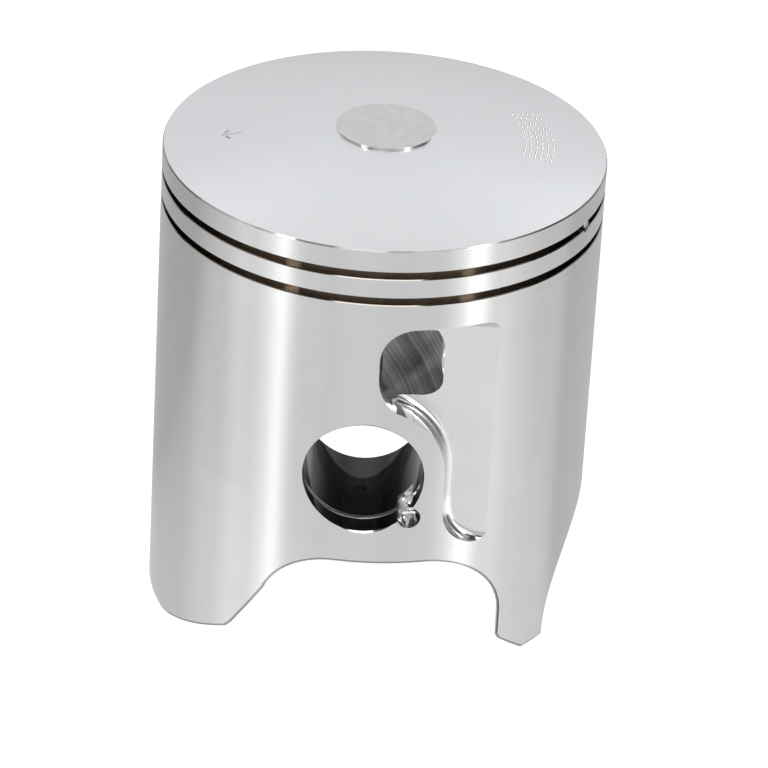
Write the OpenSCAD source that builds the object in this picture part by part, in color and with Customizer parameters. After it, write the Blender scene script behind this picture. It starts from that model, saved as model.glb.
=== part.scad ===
// Two-stroke motorcycle piston with two ring grooves, a plain gudgeon pin bore and side transfer pockets.
// +Z runs up the cylinder axis, the gudgeon pin lies along Y, -X is the exhaust side and +X the intake side.
// The origin is on the cylinder axis, level with the base of the exhaust skirt.

/* [Skirt] */
// Outside diameter of the skirt
skirt_d = 66.34; // [66:0.02:67]
// Height from the base of the exhaust skirt to the rim of the crown
rim_h = 75.2; // [74.8:0.1:76]
// Inside diameter of the skirt at its base
skirt_bore_d = 60.8; // [60:0.1:61]
// Inside diameter of the skirt just below the crown
neck_bore_d = 59.5; // [59:0.1:59.8]

/* [Crown] */
// Rise of the domed crown above its rim
dome_rise = 3.35; // [3:0.05:4]
// Diameter of the raised flat in the middle of the crown
flat_d = 14.9; // [12:0.1:18]
// Height of the crown's flat above the rim
flat_h = 3.5; // [3.4:0.05:4.5]
// Height of the chamfer on the rim of the crown
rim_chamfer = 0.25; // [0.15:0.05:0.5]
// Depth of the arrow and of the dot marks in the crown
mark_depth = 0.2; // [0.1:0.05:0.3]

/* [Ring grooves] */
// Height of the top land
top_land = 3.5; // [3.2:0.1:3.8]
// Distance from one groove to the next
groove_pitch = 4.2; // [4:0.1:4.6]
// Height of each ring groove
groove_h = 1.15; // [1:0.05:1.3]
// Radial depth of each ring groove
groove_depth = 3; // [2.6:0.1:3.2]
// Chamfer on the upper edge of the land under each groove
land_chamfer = 0.12; // [0.1:0.02:0.3]
// Radial clearance of the lands inside the skirt's diameter
land_relief = 0.02; // [0:0.01:0.1]

/* [Ring locating pins] */
// Diameter of the locating pins
ring_pin_d = 1.5; // [1.2:0.1:1.6]
// Angle from the intake side to each locating pin
ring_pin_angle = 24.5; // [22:0.5:27]
// Radius from the cylinder axis to the pin's outer end
ring_pin_r = 33; // [32.4:0.1:33]

/* [Gudgeon pin] */
// Diameter of the gudgeon pin bore
pin_d = 18; // [17.8:0.1:18]
// Distance from the rim of the crown down to the pin's axis
pin_drop = 38; // [37.9:0.1:38.2]
// Offset of the pin's axis from the cylinder axis, towards the exhaust
pin_offset = 1; // [0.8:0.1:1.2]
// Outside diameter of the boss round the pin bore
boss_d = 24.6; // [24.4:0.1:25]
// Clear width between the two bosses
boss_gap = 22; // [21:0.5:23]
// Distance between the centres of the two circlip grooves
clip_span = 57.9; // [57.4:0.1:58.2]
// Width of a circlip groove
clip_w = 1.1; // [1:0.05:1.2]
// Depth of a circlip groove
clip_depth = 0.6; // [0.5:0.05:0.7]
// Diameter of the circlip removal notch
notch_d = 3.4; // [3:0.1:3.6]
// Diameter of the oil hole under each boss
oil_d = 1.6; // [1.4:0.1:2.4]

/* [Side pockets] */
// Distance from the cylinder axis to the flat floor of each side pocket
floor_y = 28; // [27.9:0.05:28.2]
// Radius between the floor and the wall of a pocket
floor_r = 1.5; // [1.3:0.1:1.6]
// Angle at which the window runs from the pocket towards the intake side
window_angle = 34; // [30:1:38]

/* [Skirt cut-outs] */
// Height of the arch between the skirts, under each boss
arch_h = 22.75; // [22:0.05:23]
// Radius of the arch in the intake skirt
intake_arch_r = 18; // [17.5:0.1:18.2]
// Height of the intake skirt's legs above the base of the exhaust skirt
leg_h = 2.5; // [2:0.1:3]
// Width of the shallow step that breaks the outer edge of the cut-outs
edge_break = 0.38; // [0.2:0.02:0.5]

/* [Hidden] */
skirt_r = skirt_d / 2;
land_r = skirt_r - land_relief;
root_r = land_r - groove_depth;
crown_r = land_r - 0.6 * rim_chamfer;
dome_r = (crown_r * crown_r + dome_rise * dome_rise) / (2 * dome_rise);
g1_top = rim_h - top_land;
g2_top = g1_top - groove_pitch;
belt_low = g2_top - groove_h - 1.2;
pin_x = -pin_offset;
pin_z = rim_h - pin_drop;
pin_r = pin_d / 2;
boss_r = boss_d / 2;
wall_r = 12.05;
$fn = 128;

// The outline turned on the lathe: skirt, lands, grooves, rim and crown.
module turned_section() {
    difference() {
        union() {
            polygon([
                [0, 0], [skirt_r - 0.3, 0], [skirt_r, 0.6], [skirt_r, belt_low], [land_r, belt_low + 0.4],
                [land_r, rim_h - rim_chamfer], [crown_r, rim_h], [0, rim_h]
            ]);
            intersection() {
                translate([0, rim_h + dome_rise - dome_r]) circle(r = dome_r, $fn = 256);
                translate([0, rim_h - 0.5]) square([crown_r, dome_rise + 1]);
            }
            translate([0, rim_h]) square([flat_d / 2, flat_h]);
        }
        for (z = [g1_top, g2_top]) polygon([
            [root_r, z], [land_r - 0.08, z], [land_r + 0.5, z + 0.58], [land_r + 0.5, z - groove_h - land_chamfer - 0.5],
            [land_r, z - groove_h - land_chamfer], [land_r - land_chamfer, z - groove_h], [root_r, z - groove_h]
        ]);
    }
}

// The hollow under the crown, with a domed roof and a rounded corner.
module hollow_section() {
    corner = [21.7, rim_h - 17.66];
    roof_r = 60.9;
    polygon([
        [0, -1], [skirt_bore_d / 2 + 1.4, -1], [skirt_bore_d / 2 + 0.8, 0], [skirt_bore_d / 2, 2.2],
        [neck_bore_d / 2, corner[1] - 0.3], [0, corner[1] - 0.3]
    ]);
    translate([0, corner[1] - 1]) square([corner[0], 5]);
    translate(corner) circle(r = neck_bore_d / 2 - corner[0]);
    intersection() {
        translate([0, rim_h - 65.9]) circle(r = roof_r, $fn = 256);
        translate([0, corner[1]]) square([24.5, 20]);
    }
}

// Extrudes an outline drawn in X and Z along Y, from y0 out to y1 on the -Y side.
module side_cut(y0, y1) {
    translate([0, -y0, 0]) rotate([90, 0, 0]) linear_extrude(y1 - y0) children();
}

// Bosses for the gudgeon pin, each with a column up to the crown and wings out to the skirt.
module boss() {
    translate([pin_x, 0, pin_z]) side_cut(boss_gap / 2, 31) circle(r = boss_r);
    translate([pin_x, 0, pin_z]) linear_extrude(pin_drop) polygon([
        [-10.2, -boss_gap / 2], [10.2, -boss_gap / 2], [11.2, -22], [16.4, -31], [-16.4, -31], [-11.2, -22]
    ]);
    translate([pin_x, 0, pin_z]) side_cut(24.6, 31) {
        circle(r = boss_r + 0.4);
        polygon([[-11, -6.5], [-15.6, 1.2], [-15.6, 30], [15.6, 30], [15.6, 1.2], [11, -6.5]]);
    }
}

// The outline removed below the skirts, drawn in X and Z and grown by e: a bevel on the exhaust skirt, the arch, and the intake leg.
module arch_outline(e) {
    left_r = 11;
    right_r = 11.8;
    lz = arch_h - left_r;
    rz = arch_h - right_r;
    s = 0.72 * e;
    polygon([
        [-31.2 - s, -2], [-31.2 - s, s], [-29.5 - s, 0.8 + s], [-20.5 - s, 6.1 + s], [-19.75 - s, 7 + s], [-14.28 - s, lz + 4.86 + s],
        [-4.6, lz], [-4.3, arch_h + e], [8.2, arch_h + e], [8.5, rz], [20.3 + e, rz - 0.36],
        [20.3 + e, leg_h + 4.5 + 0.2 * e], [20.7 + e, leg_h + 3.7 + 0.3 * e], [24.5 + 0.4 * e, leg_h + e], [45, leg_h + e], [45, -2]
    ]);
    translate([-4.6, lz]) circle(r = left_r + e);
    translate([8.5, rz]) circle(r = right_r + e);
}

// The cut between the skirts and the arch in the intake skirt, grown by e.
module cutouts(e) {
    side_cut(-40, 40) arch_outline(e);
    translate([0, 0, leg_h + 0.2]) rotate([0, 90, 0]) cylinder(h = 40, r = intake_arch_r + e);
}

// The outline of a side pocket drawn in X and Z, shrunk by i all round.
module pocket_outline(i) {
    difference() {
        union() {
            translate([5.95, rim_h - 30]) square([34, 17.05 - i]);
            translate([0.5 + i, rim_h - 20.6]) square([9, 2.2]);
            translate([5.7, rim_h - 18.15]) circle(r = 5.2 - i);
            translate([8.0, rim_h - 20.9]) circle(r = 7.5 - i);
            translate([4.5 + 0.47 * i, rim_h - 28]) square([4, 5]);
            translate([11.05 + i, rim_h - 43.9]) square([28, 16]);
            translate([6, pin_z + 0.3]) square([12, 9]);
            translate([17.2, rim_h - 44.2]) circle(r = 6.15 - i);
            translate([17.5, rim_h - 50.35 + i]) square([22, 9]);
        }
        translate([pin_x, pin_z]) circle(r = wall_r + i);
    }
}

// A side pocket: a flat floor, upright walls and a radius where they meet.
module pocket() {
    r = floor_r - 0.01;
    deep = floor_y + floor_r;
    side_cut(deep, 40) pocket_outline(0);
    side_cut(floor_y, 40) pocket_outline(floor_r);
    translate([9, -deep, rim_h - 12.95 - floor_r]) rotate([0, 90, 0]) cylinder(h = 15, r = r);
    translate([pin_x, -deep, pin_z]) rotate([90, 0, 0]) rotate_extrude(angle = 69.5) translate([wall_r + floor_r, 0]) circle(r = r);
    translate([11.05 + floor_r, -deep, rim_h - 44.2]) cylinder(h = 44.2 - pin_drop, r = r);
    translate([17.2, -deep, rim_h - 44.2]) rotate([90, 0, 0]) rotate([0, 0, 180]) rotate_extrude(angle = 90) translate([6.15 - floor_r, 0]) circle(r = r);
    translate([17.2, -deep, rim_h - 50.35 + floor_r]) rotate([0, 90, 0]) cylinder(h = 8, r = r);
}

// The window from a pocket's floor into the hollow. It runs in at an angle towards the intake side.
module window() {
    w = 9.2 * cos(window_angle);
    lo = rim_h - 26.2;
    hi = rim_h - 12.95;
    c = 2.6;
    big = 4.3;
    translate([0.78, -floor_y, 0]) rotate([0, 0, -window_angle]) translate([0, 13, 0]) rotate([90, 0, 0]) linear_extrude(13 + 2.2) {
        difference() {
            union() {
                translate([c, lo]) square([w - 2 * c, hi - lo - big]);
                translate([big, lo]) square([w - big - c, hi - lo]);
                translate([0, lo + c]) square([w, hi - lo - big - c]);
                translate([big, lo + c]) square([w - big, hi - lo - c]);
                translate([big, hi - big]) intersection() {
                    circle(r = big + 0.005);
                    translate([-6, -0.5]) square([6.5, 7]);
                }
                for (x = [c, w - c]) translate([x, lo + c]) circle(r = c + 0.005);
            }
            translate([w - 5.5, hi - 5.5]) difference() {
                square([9, 9]);
                circle(r = 5.505);
            }
        }
    }
}

// Circlip groove, removal notch, countersink and oil hole on one side of the pin bore.
module bore_details() {
    translate([pin_x, 0, pin_z]) {
        side_cut(clip_span / 2 - clip_w / 2, clip_span / 2 + clip_w / 2) circle(r = pin_r + clip_depth);
        translate([0, 0.25 - skirt_r, 0]) rotate([90, 0, 0]) cylinder(h = 1.25, r1 = pin_r, r2 = pin_r + 1.25);
        translate([0, -boss_gap / 2 + 0.01, 0]) rotate([90, 0, 0]) cylinder(h = 0.5, r1 = pin_r + 0.5, r2 = pin_r);
        rotate([0, 43, 0]) translate([pin_r + 0.7, -27.4, 0]) {
            rotate([90, 0, 0]) cylinder(h = 8, d = notch_d);
            sphere(d = notch_d - 0.02);
        }
    }
    translate([pin_x, -20.6, pin_z - boss_r - 4]) cylinder(h = 8, d = oil_d);
}

// The locating pin's hole and the notch beside it in the land below.
module ring_pin_seat(angle, z) {
    rotate([0, 0, angle]) translate([0, 0, z]) {
        translate([25.5, 0, 0]) rotate([0, 90, 0]) cylinder(h = 10, d = ring_pin_d);
        translate([root_r - 0.05, -0.55, -0.3]) rotate([0, 90, 0]) cylinder(h = 6, d = ring_pin_d);
    }
}

// A steel locating pin, rounded off at its outer end.
module ring_pin(angle, z) {
    rotate([0, 0, angle]) translate([25.5, 0, z]) rotate([0, 90, 0]) {
        cylinder(h = ring_pin_r - 25.5 - 0.2, d = ring_pin_d);
        translate([0, 0, ring_pin_r - 25.5 - 0.2]) cylinder(h = 0.2, d1 = ring_pin_d, d2 = ring_pin_d - 0.4);
    }
}

// Height of the crown's dome at radius r.
function dome_z(r) = rim_h + dome_rise - dome_r + sqrt(dome_r * dome_r - r * r);

// Marks on the crown: an arrow to the exhaust side and a block of plain punched dots.
module crown_marks() {
    rotate([0, 0, 184.2]) translate([23, 0, dome_z(23) - mark_depth]) rotate([0, asin(23 / dome_r), 3]) linear_extrude(3) {
        translate([-1.45, -0.19]) square([2.7, 0.38]);
        polygon([[1.55, 0], [0.45, 1.5], [0.1, 1.2], [0.98, 0], [0.1, -1.2], [0.45, -1.5]]);
    }
    for (line = [0 : 4], side = [-1, 1], col = [0 : 5]) rotate([0, 0, 23.2 - line * 8.15 + side * 1.65]) {
        r = 20.9 + col * 0.84;
        translate([r, 0, dome_z(r) - mark_depth]) cylinder(h = 1.2, d1 = 0.2, d2 = 2.6, $fn = 16);
    }
}

module piston_body() {
    color([0.80, 0.80, 0.79]) difference() {
        rotate_extrude($fn = 256) turned_section();
        difference() {
            rotate_extrude($fn = 256) hollow_section();
            boss();
            mirror([0, 1, 0]) boss();
        }
        translate([pin_x, 40, pin_z]) rotate([90, 0, 0]) cylinder(h = 80, r = pin_r);
        cutouts(0);
        difference() {
            cutouts(edge_break);
            translate([0, 0, -5]) cylinder(h = 60, r = skirt_r - 0.4 * edge_break, $fn = 256);
        }
        for (m = [0, 1]) mirror([0, m, 0]) {
            pocket();
            window();
            bore_details();
        }
        ring_pin_seat(-ring_pin_angle, g1_top - groove_h / 2);
        ring_pin_seat(ring_pin_angle, g2_top - groove_h / 2);
        crown_marks();
    }
}

module upper_ring_locating_pin() {
    color([0.62, 0.62, 0.64]) ring_pin(-ring_pin_angle, g1_top - groove_h / 2);
}

module lower_ring_locating_pin() {
    color([0.62, 0.62, 0.64]) ring_pin(ring_pin_angle, g2_top - groove_h / 2);
}

piston_body();
upper_ring_locating_pin();
lower_ring_locating_pin();
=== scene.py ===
import bpy, math
from mathutils import Vector, Matrix

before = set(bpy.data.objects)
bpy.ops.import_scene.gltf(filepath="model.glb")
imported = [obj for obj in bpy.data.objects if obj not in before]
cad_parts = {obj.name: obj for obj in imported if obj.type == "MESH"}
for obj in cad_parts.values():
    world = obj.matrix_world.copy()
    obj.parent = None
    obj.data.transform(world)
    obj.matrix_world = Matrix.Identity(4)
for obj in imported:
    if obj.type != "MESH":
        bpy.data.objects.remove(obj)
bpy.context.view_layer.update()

MM = 0.001
scene = bpy.context.scene

# ---------------------------------------------------------------- camera
def make_camera():
    cam = bpy.data.cameras.new("camera")
    ob = bpy.data.objects.new("camera", cam)
    scene.collection.objects.link(ob)
    right = Vector((0.99867154, 0.0116043, 0.05020458)).normalized()
    look = Vector((0.01460832, 0.87057726, -0.49181483)).normalized()
    right = (right - look * right.dot(look)).normalized()
    up = right.cross(look)
    pos = Vector((-9.04, -647.871, 400.695)) * MM
    ob.matrix_world = Matrix((
        (right.x, up.x, -look.x, pos.x),
        (right.y, up.y, -look.y, pos.y),
        (right.z, up.z, -look.z, pos.z),
        (0, 0, 0, 1)))
    cam.sensor_width = 36.0
    cam.lens = 36.0 * 4863.09 / 768.0
    cam.clip_start = 0.01
    cam.clip_end = 100
    scene.camera = ob

make_camera()

# ---------------------------------------------------------------- node helper
class N:
    """A value in a node tree, with arithmetic that adds Math nodes."""
    tree = None

    def __init__(self, s):
        self.s = s

    @classmethod
    def node(cls, kind, **props):
        n = cls.tree.nodes.new(kind)
        for k, v in props.items():
            setattr(n, k, v)
        return n

    @classmethod
    def feed(cls, socket, v):
        if isinstance(v, N):
            cls.tree.links.new(v.s, socket)
        elif isinstance(v, (tuple, list)):
            v = tuple(v)
            if len(v) == 3 and len(socket.default_value) == 4:
                v = v + (1.0,)
            socket.default_value = v
        else:
            socket.default_value = v

    @classmethod
    def op(cls, name, *args, clamp=False):
        n = cls.node("ShaderNodeMath", operation=name, use_clamp=clamp)
        for i, a in enumerate(args):
            cls.feed(n.inputs[i], a)
        return N(n.outputs[0])

    def __add__(self, o): return N.op("ADD", self, o)
    def __radd__(self, o): return N.op("ADD", o, self)
    def __sub__(self, o): return N.op("SUBTRACT", self, o)
    def __rsub__(self, o): return N.op("SUBTRACT", o, self)
    def __mul__(self, o): return N.op("MULTIPLY", self, o)
    def __rmul__(self, o): return N.op("MULTIPLY", o, self)
    def __truediv__(self, o): return N.op("DIVIDE", self, o)
    def __neg__(self): return N.op("MULTIPLY", self, -1.0)


def absolute(a): return N.op("ABSOLUTE", a)
def sqrt(a): return N.op("SQRT", a)
def minimum(a, b): return N.op("MINIMUM", a, b)
def maximum(a, b): return N.op("MAXIMUM", a, b)
def inv(a): return N.op("SUBTRACT", 1.0, a, clamp=True)


def ramp(v, a, b, lo=0.0, hi=1.0, smooth=False):
    """lo at a to hi at b, clamped."""
    n = N.node("ShaderNodeMapRange", interpolation_type="SMOOTHSTEP" if smooth else "LINEAR", clamp=True)
    for i, x in enumerate((v, a, b, lo, hi)):
        N.feed(n.inputs[i], x)
    return N(n.outputs[0])


def band(v, a, b, soft):
    """1 where v is between a and b."""
    return ramp(v, a - soft, a) * ramp(v, b, b + soft, 1.0, 0.0)


def vec(x, y, z):
    n = N.node("ShaderNodeCombineXYZ")
    for i, v in enumerate((x, y, z)):
        N.feed(n.inputs[i], v)
    return N(n.outputs[0])


def xyz(v):
    n = N.node("ShaderNodeSeparateXYZ")
    N.feed(n.inputs[0], v)
    return [N(o) for o in n.outputs]


def noise(v, scale, detail=3.0, rough=0.5, distortion=0.0):
    n = N.node("ShaderNodeTexNoise", noise_dimensions="3D")
    N.feed(n.inputs["Vector"], v)
    n.inputs["Scale"].default_value = scale
    n.inputs["Detail"].default_value = detail
    n.inputs["Roughness"].default_value = rough
    n.inputs["Distortion"].default_value = distortion
    return N(n.outputs[0])


def mixf(f, a, b):
    n = N.node("ShaderNodeMix", data_type="FLOAT")
    N.feed(n.inputs[0], f); N.feed(n.inputs[2], a); N.feed(n.inputs[3], b)
    return N(n.outputs[0])


def mixc(f, a, b, blend="MIX"):
    n = N.node("ShaderNodeMix", data_type="RGBA", blend_type=blend)
    N.feed(n.inputs[0], f); N.feed(n.inputs[6], a); N.feed(n.inputs[7], b)
    return N(n.outputs[2])


def grey(v, tint=(1.0, 1.0, 1.0)):
    return vec(v * tint[0], v * tint[1], v * tint[2])


def bump(height, dist, strength=1.0, normal=None):
    n = N.node("ShaderNodeBump")
    n.inputs["Strength"].default_value = strength
    n.inputs["Distance"].default_value = dist
    N.feed(n.inputs["Height"], height)
    if normal is not None:
        N.feed(n.inputs["Normal"], normal)
    return N(n.outputs[0])


def principled(**kw):
    n = N.node("ShaderNodeBsdfPrincipled")
    for k, v in kw.items():
        N.feed(n.inputs[k.replace("_", " ")], v)
    return n


def mix_shader(f, a, b):
    n = N.node("ShaderNodeMixShader")
    N.feed(n.inputs[0], f)
    N.tree.links.new(a, n.inputs[1])
    N.tree.links.new(b, n.inputs[2])
    return n.outputs[0]


def new_material(name):
    m = bpy.data.materials.new(name)
    m.use_nodes = True
    m.node_tree.nodes.clear()
    N.tree = m.node_tree
    return m, N.node("ShaderNodeOutputMaterial")


# ---------------------------------------------------------------- piston aluminium
SKIRT_R = 33.17
PIN_X, PIN_Z = -1.0, 37.2
RIM = 75.2


def piston_material():
    m, out = new_material("piston_aluminium_detailed")
    tc = N.node("ShaderNodeTexCoord")
    pos = N.node("ShaderNodeVectorMath", operation="SCALE")
    N.feed(pos.inputs[0], N(tc.outputs["Object"]))
    pos.inputs[3].default_value = 1000.0
    P = N(pos.outputs[0])
    x, y, z = xyz(P)
    geo = N.node("ShaderNodeNewGeometry")
    nx, ny, nz = xyz(N(geo.outputs["True Normal"]))
    r = sqrt(x * x + y * y)
    az = N.op("ARCTAN2", y, x)
    nr = (x * nx + y * ny) / maximum(r, 0.01)
    bx, bz = x - PIN_X, z - PIN_Z
    rb = sqrt(bx * bx + bz * bz)
    ay = absolute(y)

    # where each kind of surface is
    edge = ramp(r, 32.6, 32.7) * ramp(r, 33.03, 33.07, 1.0, 0.0) * ramp(z, 24.0, 24.2, 1.0, 0.0) * ramp(nr, 0.7, 0.8)
    outer = ramp(r, 32.60, 32.75) * ramp(nr, 0.93, 0.97) * inv(edge)
    top = ramp(nz, 0.9, 0.93) * ramp(z, 75.1, 75.2)
    disc = top * ramp(r, 7.4, 7.5, 1.0, 0.0)
    chamfer = ramp(r, 32.65, 32.72) * ramp(z, 65.0, 65.1) * band(nz, 0.5, 0.86, 0.04) * ramp(nr, 0.4, 0.5)
    step = band(r, 7.3, 7.6, 0.02) * ramp(z, 77.9, 78.0) * ramp(nz, 0.7, 0.9, 1.0, 0.0)
    ring_zone = ramp(z, 65.5, 65.6) * ramp(z, 72.5, 72.6, 1.0, 0.0)
    groove = ring_zone * ramp(r, 29.95, 30.02) * inv(outer)
    floor_ = ramp(absolute(ny), 0.97, 0.985) * band(ay, 27.9, 28.1, 0.03) * ramp(r, 28.0, 28.1)
    bore = ramp(rb, 9.03, 9.12, 1.0, 0.0) * ramp(rb, 8.8, 8.9)
    ox = x - PIN_X
    oy = ay - 20.6
    dark_spot_below_bore = ramp(sqrt(ox * ox + oy * oy), 0.84, 0.88, 1.0, 0.0) * ramp(z, 30.0, 30.1, 1.0, 0.0)
    engraving_painted_glint = ramp(z, 75.5, 75.6) * band(r, 19.5, 27.0, 0.1) * inv(top)
    in_pocket = ramp(ay, 27.6, 27.8) * ramp(x, 0.4, 0.5) * band(z, 24.6, 62.6, 0.1) * inv(outer)

    crown = top * inv(disc)
    side = maximum(maximum(outer, edge), maximum(chamfer, groove))
    sy = N.op("SIGN", y)
    tunnel_in = x * 0.559 - ay * 0.829
    tunnel_across = x * 0.829 + ay * 0.559
    tunnel_wall = band(tunnel_across, 15.6, 26.0, 0.2) * ramp(z, 48.6, 48.8) * ramp(z, 62.5, 62.7, 1.0, 0.0) * band(ay, 12.0, 27.95, 0.02) * ramp(x, 0.2, 0.4)

    # turning marks: rings of constant height and radius that drift a little round the piston
    wob = noise(P, 0.05, 1.0)
    s_side = z + wob * 0.05
    s_top = r + wob * 0.05
    s = mixf(top, s_side, s_top)
    fine = noise(vec(s * 5.0, az * 0.6, 0.0), 1.0, 3.0, 0.65)
    mid = noise(vec(s * 0.9, az * 0.35, 7.0), 1.0, 3.0, 0.55)
    feed = N.op("SINE", s * (2 * math.pi / 0.22))
    cloud = noise(P, 0.10, 4.0, 0.55)
    smudge = noise(P, 0.55, 5.0, 0.6)

    tone = 0.765 + (fine - 0.5) * 0.055 + (mid - 0.5) * 0.025 + (cloud - 0.5) * 0.03
    tang = N.node("ShaderNodeTangent", direction_type="RADIAL", axis="Z")
    tangent = N(tang.outputs[0])
    h_turned = fine * 0.5 + feed * 0.15
    # painted shade: the ring grooves get a darker, brownish base colour for the shade and brown inter-reflection deep
    # inside them
    side_base = mixc(groove, grey(tone, (0.998, 1.0, 1.0)), grey(0.42 + (fine - 0.5) * 0.3, (1.0, 0.90, 0.80)))
    # painted shade: the edge break round the arch gets a dark grey base colour for the dark reflection along the
    # rounded edge
    side_base = mixc(edge, side_base, grey(0.36 + (fine - 0.5) * 0.2, (1.0, 0.99, 0.97)))
    side_rough = mixf(chamfer, 0.31 + (mid - 0.5) * 0.03 + (smudge - 0.5) * 0.03 + (fine - 0.5) * 0.04, 0.20)
    b_side = principled(
        Base_Color=side_base, Metallic=1.0,
        Roughness=mixf(groove, side_rough, 0.11 + (fine - 0.5) * 0.06),
        Anisotropic=1.0, Anisotropic_Rotation=0.25, Tangent=tangent,
        Normal=bump(h_turned, 0.000004, 0.4))
    b_top = principled(
        Base_Color=grey(tone * 0.99, (0.985, 0.998, 1.015)), Metallic=1.0,
        Roughness=0.37 + (mid - 0.5) * 0.04 + (smudge - 0.5) * 0.05,
        Anisotropic=0.45, Anisotropic_Rotation=0.25, Tangent=tangent,
        Normal=bump(h_turned, 0.000005, 0.4))

    # machined and forged surfaces
    grain = noise(P, 3.2, 4.0, 0.6)
    pits = noise(P, 9.0, 2.0, 0.5)
    streak_v = noise(vec(x * 2.2, y * 2.2, z * 0.25), 1.0, 3.0, 0.6)
    scratch = noise(vec(x * 0.6 + z * 0.8, y, (z - x) * 4.0), 1.0, 4.0, 0.65)
    honed = noise(vec(ay * 6.0, N.op("ARCTAN2", bz, bx) * 0.8, 3.0), 1.0, 3.0, 0.6)
    base = grey(0.56 + (grain - 0.5) * 0.18 + (pits - 0.5) * 0.08, (1.0, 0.99, 0.98))
    rough = 0.50 + (grain - 0.5) * 0.2
    height = grain * 0.6 + pits * 0.4

    # end mill marks in the window, running down into the hollow
    mill = noise(vec((tunnel_in + tunnel_across) * 0.79 + z * 0.61, 0.0, 5.0), 1.3, 4.0, 0.7)
    base = mixc(tunnel_wall, base, grey(ramp(mill, 0.36, 0.64, 0.35, 1.0), (1.0, 0.985, 0.97)))
    rough = mixf(tunnel_wall, rough, 0.42)
    mirror = maximum(ramp(z, 42.0, 44.5), ramp(z, 31.0, 32.4, 1.0, 0.0))
    base = mixc(in_pocket, base, grey(mixf(mirror, 0.68, 0.86) + (scratch - 0.5) * 0.14, (1.0, 1.0, 0.995)))
    rough = mixf(in_pocket, rough, mixf(mirror, 0.33, 0.06 + (scratch - 0.5) * 0.04))
    base = mixc(floor_, base, grey(0.70 + (cloud - 0.5) * 0.12 + (streak_v - 0.5) * 0.05, (1.0, 1.0, 1.0)))
    rough = mixf(floor_, rough, 0.30 + (streak_v - 0.5) * 0.08)
    # the bore is honed; its near-black colour is painted shade for the dark reflections in its walls, and a lighter
    # crescent at the inner end of its floor is a painted reflection
    base = mixc(bore, base, grey(0.09 + (honed - 0.5) * 0.05, (0.98, 0.99, 1.03)))
    rough = mixf(bore, rough, 0.08 + (honed - 0.5) * 0.04)
    reach = maximum((bz * bz - 40.0) * (6.7 / 41.0), 0.0)
    # painted reflection: a lighter crescent on the bore floor for the lit far end of the bore seen in it
    bore_painted_reflection = bore * ramp(ay - 11.0 - reach, -0.5, 0.4, 1.0, 0.0) * ramp(bz, -2.0, -1.0, 1.0, 0.0)
    base = mixc(bore_painted_reflection, base, grey(0.46 + (honed - 0.5) * 0.3, (1.0, 0.985, 0.96)))
    rough = mixf(bore_painted_reflection, rough, 0.24)
    clip = band(rb, 9.05, 9.75, 0.03) * band(ay, 28.2, 29.7, 0.1)
    base = mixc(clip, base, grey(0.85 + (honed - 0.5) * 0.2, (1.0, 1.0, 1.0)))
    rough = mixf(clip, rough, 0.16)
    # a round spot 0.86 mm in radius below each bore is painted dark brown
    base = mixc(dark_spot_below_bore, base, grey(0.16 + (grain - 0.5) * 0.1, (1.0, 0.95, 0.88)))
    notch = ramp(sqrt((x - 6.09) * (x - 6.09) + (z - 30.58) * (z - 30.58)), 1.80, 1.90, 1.0, 0.0) * ramp(ay, 25.4, 25.5)
    polished_edge_painted_glint = maximum(maximum(notch, step), band(rb, 9.02, 9.62, 0.02) * ramp(ay, 32.6, 32.7))
    # the notch at the bore end, the centre disc's step and the bore's outer rim: low roughness is their polish, the
    # lighter base colour is a painted highlight for their glints
    base = mixc(polished_edge_painted_glint, base, grey(0.80 + (grain - 0.5) * 0.2, (1.0, 1.0, 1.0)))
    rough = mixf(polished_edge_painted_glint, rough, 0.12 + (grain - 0.5) * 0.08)
    # painted highlight: the engraved marks on the crown get a near-white base colour for the white glints on their
    # walls
    base = mixc(engraving_painted_glint, base, grey(0.92 + (grain - 0.5) * 0.1, (1.0, 1.0, 1.0)))
    rough = mixf(engraving_painted_glint, rough, 0.22)
    base = mixc(disc, base, grey(0.64 + (smudge - 0.5) * 0.22 + (grain - 0.5) * 0.14, (1.0, 1.0, 0.997)))
    rough = mixf(disc, rough, 0.40 + (smudge - 0.5) * 0.25)
    b_other = principled(
        Base_Color=base, Metallic=1.0, Roughness=rough,
        Normal=bump(height, 0.00002, 0.35))

    N.tree.links.new(mix_shader(side, mix_shader(crown, b_other.outputs[0], b_top.outputs[0]), b_side.outputs[0]), out.inputs[0])
    return m


def steel_material():
    m, out = new_material("pin_steel_detailed")
    tc = N.node("ShaderNodeTexCoord")
    pos = N.node("ShaderNodeVectorMath", operation="SCALE")
    N.feed(pos.inputs[0], N(tc.outputs["Object"]))
    pos.inputs[3].default_value = 1000.0
    P = N(pos.outputs[0])
    g = noise(P, 6.0, 4.0, 0.6)
    f = noise(P, 1.5, 3.0, 0.5)
    b = principled(
        Base_Color=grey(0.42 + (g - 0.5) * 0.2 + (f - 0.5) * 0.1, (1.0, 1.0, 1.02)), Metallic=1.0,
        Roughness=0.34 + (g - 0.5) * 0.15,
        Normal=bump(g, 0.00001, 0.3))
    N.tree.links.new(b.outputs[0], out.inputs[0])
    return m


def dress(name, mat):
    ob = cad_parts[name]
    ob.data.materials.clear()
    ob.data.materials.append(mat)


dress("piston_body", piston_material())
steel = steel_material()
dress("upper_ring_locating_pin", steel)
dress("lower_ring_locating_pin", steel)

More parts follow.
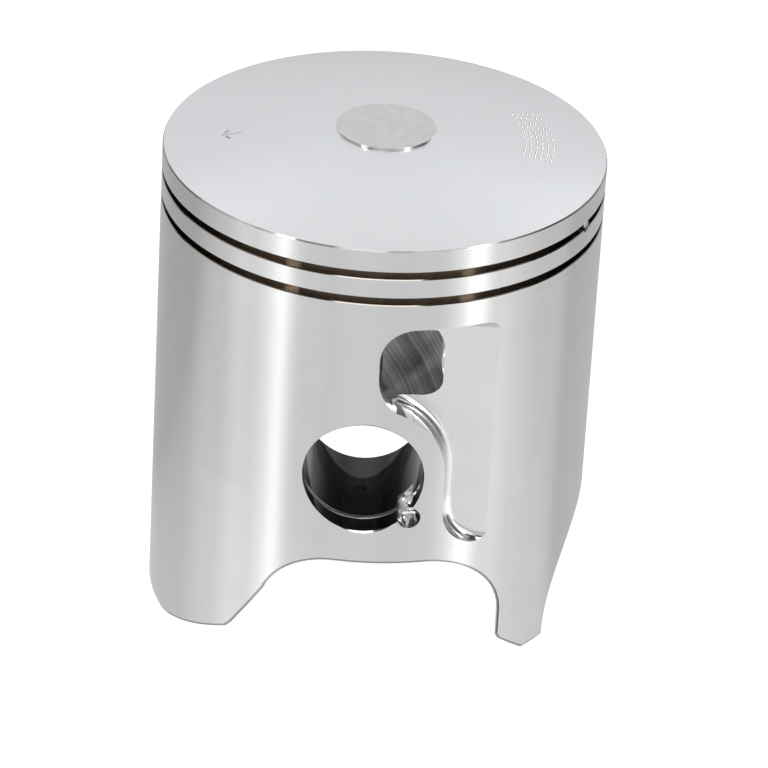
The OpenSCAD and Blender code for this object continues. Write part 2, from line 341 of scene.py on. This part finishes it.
# ---------------------------------------------------------------- floor
def make_floor():
    me = bpy.data.meshes.new("floor")
    s = 3.0
    me.from_pydata([(-s, -s, -0.00002), (s, -s, -0.00002), (s, s, -0.00002), (-s, s, -0.00002)], [], [(0, 1, 2, 3)])
    ob = bpy.data.objects.new("floor", me)
    scene.collection.objects.link(ob)
    m, out = new_material("floor_white")
    b = principled(Base_Color=(0.30, 0.30, 0.30), Roughness=0.8, Emission_Color=(1.0, 1.0, 1.0), Emission_Strength=0.93)
    N.tree.links.new(b.outputs[0], out.inputs[0])
    me.materials.append(m)
    ob.visible_glossy = False
    ob.visible_shadow = False

make_floor()

# ---------------------------------------------------------------- studio light
world = bpy.data.worlds.new("studio")
scene.world = world
world.use_nodes = True
bg = world.node_tree.nodes["Background"]
bg.inputs[0].default_value = (1.0, 1.0, 1.0, 1.0)
bg.inputs[1].default_value = 0.07
scene.view_settings.view_transform = "Standard"


def panel(name, az, el, dist, w, h, radiance, tint=(1.0, 1.0, 1.0), upright=False, z0=0.0):
    """A soft box. az is from the front of the piston, positive to the right; radiance is what a mirror would see."""
    a = math.radians(az - 90)
    e = math.radians(el)
    loc = Vector((math.cos(a) * math.cos(e), math.sin(a) * math.cos(e), math.sin(e))) * dist + Vector((0, 0, 0.04 + z0))
    li = bpy.data.lights.new(name, "AREA")
    li.shape = "RECTANGLE"
    li.size = w
    li.size_y = h
    li.energy = radiance * math.pi * w * h
    li.color = tint
    ob = bpy.data.objects.new(name, li)
    scene.collection.objects.link(ob)
    aim = Vector((0, 0, 0.04 + z0)) - loc
    if upright:
        aim.z = 0
    ob.rotation_euler = aim.to_track_quat("-Z", "Y").to_euler()
    ob.location = loc
    ob.visible_camera = False
    return ob


def strip(name, a0, a1, radiance, lo=-1.2, hi=0.9, dist=1.2):
    """An upright strip between two azimuths seen from the piston, from height lo to hi."""
    mid = (a0 + a1) / 2
    w = 2 * dist * math.tan(math.radians(abs(a1 - a0) / 2))
    return panel(name, mid, 0, dist, w, hi - lo, radiance, upright=True, z0=(hi + lo) / 2)


def pad(name, az, dist, w, h, radiance):
    """A small flat glow on the table beside the piston, shining upwards."""
    ob = panel(name, 0, 0, 1.0, w, h, radiance)
    a = math.radians(az - 90)
    ob.location = (math.cos(a) * dist, math.sin(a) * dist, -0.006)
    ob.rotation_euler = (math.pi, 0, a + math.pi / 2)
    return ob


# below: what a pale table gives back, a little more close to the piston, and up into its hollow
panel("table_glow", 0, -90, 1.0, 9.0, 9.0, 0.43)
near = panel("table_near", 0, -90, 0.046, 0.34, 0.34, 0.08)
hollow = panel("hollow_glow", 0, -90, 0.050, 0.040, 0.036, 1.1)
pad("table_left", -67, 0.088, 0.105, 0.13, 0.21)
pad("table_right", 56, 0.078, 0.09, 0.10, 0.09)
# left light, with its hot edge towards the camera
strip("left_light_edge", -46, -53, 0.80)
panel("left_lamp", -49.5, 27, 1.3, 0.16, 0.30, 9.0)
strip("left_light_mid", -53, -62, 0.63)
strip("left_light_out", -62, -78, 0.26)
strip("left_wall", -66, -100, 0.27)
strip("left_wall_far", -98, -130, 0.06)
# right light, dark along the horizon behind it
strip("right_light_core", 46, 57, 0.70)
panel("right_lamp", 51, 27, 1.3, 0.15, 0.30, 9.0)
strip("right_light_soft", 36, 70, 0.25)
strip("right_light_edge", 68, 86, 0.10)
strip("right_wall", 62, 108, 0.48, hi=-0.20)
strip("right_wall_far", 102, 140, 0.14, hi=-0.20)
panel("right_high", 132, 30, 1.5, 1.0, 0.7, 0.62)
panel("right_high_front", 40, 24, 1.35, 0.95, 0.85, 0.55)
panel("right_high_side", 78, 47, 1.4, 0.5, 0.45, 0.5)
# front fill round the camera
strip("front_fill", -50, 50, 0.35, dist=1.4)
strip("front_fill_left", -47, -26, 0.12, dist=1.35)
strip("front_fill_wide", -75, 80, 0.11, dist=1.3)
# behind and above, seen in the crown
panel("back_light", 180, 30, 1.6, 3.6, 1.8, 0.76, (0.98, 0.99, 1.0))
panel("back_high", 186, 58, 1.5, 1.9, 0.9, 0.54, (0.99, 0.995, 1.0))
panel("top_light", 0, 66, 1.3, 0.7, 0.7, 2.6)
panel("front_high", -10, 39, 1.3, 0.5, 0.34, 1.0)
panel("left_high", -98, 42, 1.4, 1.0, 0.8, 0.45)
